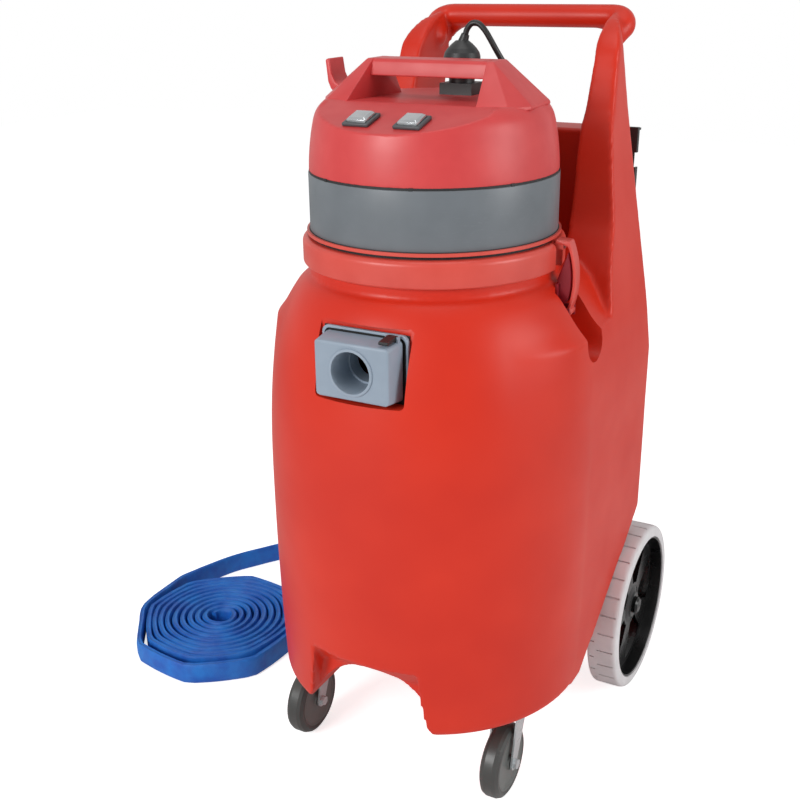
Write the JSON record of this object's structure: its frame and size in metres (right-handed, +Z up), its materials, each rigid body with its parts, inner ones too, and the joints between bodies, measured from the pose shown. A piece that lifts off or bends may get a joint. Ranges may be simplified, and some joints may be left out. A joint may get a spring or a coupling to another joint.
{
  "type": "wet and dry tank vacuum cleaner",
  "caption": "Upright pump-out wet and dry tank vacuum on two rear wheels and two front casters, with push handle, lift-off head and lay-flat discharge hose.",
  "frame": {"origin": "on the floor under the middle of the machine's outline, which its barrel's front and its rear wheels' back set", "axes": "+Z up, front (hose inlet side) at -Y, the machine's right as seen from the front at +X"},
  "size_m": [0.8073, 0.6229, 1.0045],
  "materials": {
    "tank_red": "satin moulded polyethylene",
    "cap_red": "satin moulded plastic, a little pinker than the tank",
    "band_grey": "satin",
    "latch_red": "satin",
    "bracket_red": "matte",
    "inlet_grey": "satin",
    "black_plastic": "matte",
    "switch_grey": "matte",
    "switch_cover": "clear cover over silver",
    "seal_rubber": "matte",
    "foam": "open foam",
    "motor_metal": "satin",
    "steel": "zinc plated",
    "hub_black": "gloss",
    "tyre_grey": "matte non-marking rubber",
    "caster_rubber": "matte",
    "float_white": "smooth",
    "brass": "turned",
    "hose_blue": "woven lay-flat hose",
    "cable_black": "matte"
  },
  "bodies": {
    "machine": {"tank_shell": "tank_red", "rim_gasket": "seal_rubber", "inlet_box": "inlet_grey", "inlet_gasket": "seal_rubber", "inlet_deflector": "black_plastic", "head_base": "cap_red", "head_band": "band_grey", "head_cap": "cap_red", "cord_hook": "cap_red", "head_screws": "steel", "switch_bezel_vacuum": "switch_grey", "switch_bezel_pump": "switch_grey", "pump_receptacle": "black_plastic", "pump_plug": "black_plastic", "pump_cord": "cable_black", "cord_gland": "black_plastic", "fan_housing": "motor_metal", "motor_can": "motor_metal", "motor_gasket": "seal_rubber", "float_cage": "black_plastic", "foam_filter": "foam", "latch_bracket_left": "bracket_red", "latch_bracket_right": "bracket_red", "rear_axle": "steel", "axle_cap_left": "black_plastic", "axle_cap_right": "black_plastic", "caster_mount_left": "steel", "caster_mount_right": "steel", "strap_anchor": "black_plastic", "strap_band": "black_plastic", "strap_buckle": "black_plastic", "pump_body": "black_plastic", "pump_screen": "steel", "pump_cable": "cable_black", "discharge_pipe": "black_plastic", "discharge_nuts": "black_plastic", "hose_tail": "brass", "hose_lead": "hose_blue", "hose_coil": "hose_blue"},
    "clip": {"inlet_clip": "black_plastic"},
    "vacuum_rocker": {"rocker_vacuum": "switch_cover"},
    "pump_rocker": {"rocker_pump": "switch_cover"},
    "rotor": {"motor_rotor": "steel"},
    "float": {"float_ball": "float_white"},
    "latch_left": {"latch_lever_left": "latch_red"},
    "latch_right": {"latch_lever_right": "latch_red"},
    "wheel_left": {"wheel_hub_left": "hub_black", "wheel_tyre_left": "tyre_grey"},
    "wheel_right": {"wheel_hub_right": "hub_black", "wheel_tyre_right": "tyre_grey"},
    "caster_left": {"caster_fork_left": "steel", "caster_axle_left": "steel"},
    "caster_right": {"caster_fork_right": "steel", "caster_axle_right": "steel"},
    "caster_wheel_left": {"caster_wheel_left": "caster_rubber"},
    "caster_wheel_right": {"caster_wheel_right": "caster_rubber"},
    "release_lever": {"strap_lever": "black_plastic"},
    "impeller": {"pump_impeller": "brass"},
    "coupling_nut": {"hose_coupling": "brass"}
  },
  "joints": [
    {"name": "rear_wheel_left", "type": "hinge", "parent": "machine", "child": "wheel_left", "pos_m": [-0.2136, 0.1688, 0.127], "axis": [1, 0, 0], "continuous": true},
    {"name": "rear_wheel_right", "type": "hinge", "parent": "machine", "child": "wheel_right", "pos_m": [0.2136, 0.1688, 0.127], "axis": [1, 0, 0], "continuous": true},
    {"name": "swivel_left", "type": "hinge", "parent": "machine", "child": "caster_left", "pos_m": [-0.1525, -0.1532, 0.11], "axis": [0, 0, 1], "continuous": true},
    {"name": "swivel_right", "type": "hinge", "parent": "machine", "child": "caster_right", "pos_m": [0.1525, -0.1532, 0.11], "axis": [0, 0, 1], "continuous": true},
    {"name": "front_wheel_left", "type": "hinge", "parent": "caster_left", "child": "caster_wheel_left", "pos_m": [-0.1525, -0.1752, 0.051], "axis": [1, 0, 0], "continuous": true},
    {"name": "front_wheel_right", "type": "hinge", "parent": "caster_right", "child": "caster_wheel_right", "pos_m": [0.1525, -0.1752, 0.051], "axis": [1, 0, 0], "continuous": true},
    {"name": "latch_left_swing", "type": "hinge", "parent": "machine", "child": "latch_left", "pos_m": [-0.18044, -0.06458, 0.65664], "axis": [-0.0698, -0.9976, 0], "range_deg": [0, 70]},
    {"name": "latch_right_swing", "type": "hinge", "parent": "machine", "child": "latch_right", "pos_m": [0.18044, -0.06458, 0.65664], "axis": [-0.0698, 0.9976, 0], "range_deg": [0, 70]},
    {"name": "vacuum_switch", "type": "hinge", "parent": "machine", "child": "vacuum_rocker", "pos_m": [-0.034, -0.19496, 0.89265], "axis": [1, 0, 0], "range_deg": [-8, 8]},
    {"name": "pump_switch", "type": "hinge", "parent": "machine", "child": "pump_rocker", "pos_m": [0.032, -0.19496, 0.89265], "axis": [1, 0, 0], "range_deg": [-8, 8]},
    {"name": "inlet_clip_lift", "type": "hinge", "parent": "machine", "child": "clip", "pos_m": [0.041, -0.2632, 0.658], "axis": [-1, 0, 0], "range_deg": [0, 35]},
    {"name": "motor_spin", "type": "hinge", "parent": "machine", "child": "rotor", "pos_m": [0, -0.0772, 0.78], "axis": [0, 0, 1], "continuous": true},
    {"name": "pump_spin", "type": "hinge", "parent": "machine", "child": "impeller", "pos_m": [-0.06, 0.0908, 0.17], "axis": [0, 0, 1], "continuous": true},
    {"name": "float_rise", "type": "slide", "parent": "machine", "child": "float", "axis": [0, 0, 1], "range_m": [0, 0.08]},
    {"name": "coupling_turn", "type": "hinge", "parent": "machine", "child": "coupling_nut", "pos_m": [-0.06, 0.2378, 0.215], "axis": [0, 0, 1], "continuous": true},
    {"name": "strap_release", "type": "hinge", "parent": "machine", "child": "release_lever", "pos_m": [0.16, 0.20838, 0.78541], "axis": [1, 0, 0], "range_deg": [0, 30], "stiffness_Nm_per_rad": 0.02}
  ]
}
